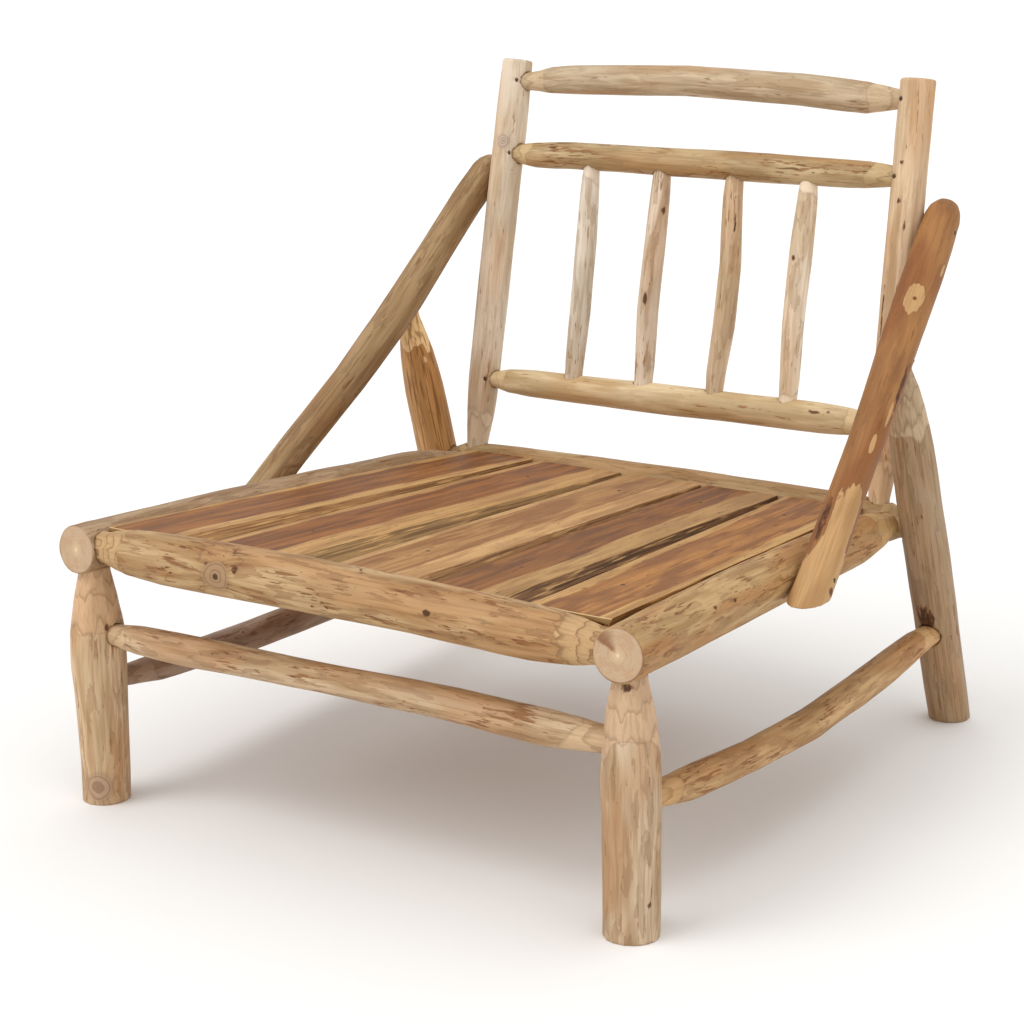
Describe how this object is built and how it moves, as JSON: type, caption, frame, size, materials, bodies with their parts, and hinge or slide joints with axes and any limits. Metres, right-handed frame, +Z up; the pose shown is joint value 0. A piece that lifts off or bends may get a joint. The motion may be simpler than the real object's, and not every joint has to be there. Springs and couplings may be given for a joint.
{
  "type": "twig lounge chair",
  "caption": "Low lounge chair of peeled branches with open slanting arms, a raked back of cross rails and spindles, and a seat of waney-edged boards.",
  "frame": {"origin": "on the floor, under the middle of the chair", "axes": "+Z up, +Y to the back, +X to the right as seen from the front"},
  "size_m": [0.7608, 0.7781, 0.741],
  "materials": {
    "leg_wood": "bare sanded, matt",
    "seat_frame_wood": "bare sanded, matt",
    "stretcher_wood": "bare sanded, matt",
    "arm_wood": "bare sanded, matt",
    "back_post_wood": "bare sanded, matt",
    "back_rail_wood": "bare sanded, matt",
    "spindle_wood": "bare sanded, matt",
    "board_wood": "bare sanded, matt",
    "bearer_wood": "bare sanded, matt",
    "nail_steel": "dull"
  },
  "bodies": {
    "root": {"front_leg_left": "leg_wood", "front_leg_right": "leg_wood", "rear_leg_left": "leg_wood", "rear_leg_right": "leg_wood", "side_rail_left": "seat_frame_wood", "side_rail_right": "seat_frame_wood", "front_rail": "seat_frame_wood", "rear_rail": "seat_frame_wood", "front_stretcher": "stretcher_wood", "side_stretcher_left": "stretcher_wood", "side_stretcher_right": "stretcher_wood", "arm_left": "arm_wood", "arm_right": "arm_wood", "back_post_left": "back_post_wood", "back_post_right": "back_post_wood", "top_back_rail": "back_rail_wood", "middle_back_rail": "back_rail_wood", "lower_back_rail": "back_rail_wood", "spindle_1": "spindle_wood", "spindle_2": "spindle_wood", "spindle_3": "spindle_wood", "spindle_4": "spindle_wood", "seat_slat_1": "board_wood", "seat_slat_2": "board_wood", "seat_slat_3": "board_wood", "seat_slat_4": "board_wood", "seat_slat_5": "board_wood", "seat_bearer_front": "bearer_wood", "seat_bearer_rear": "bearer_wood", "slat_nails": "nail_steel", "joint_nails": "nail_steel"}
  },
  "joints": []
}
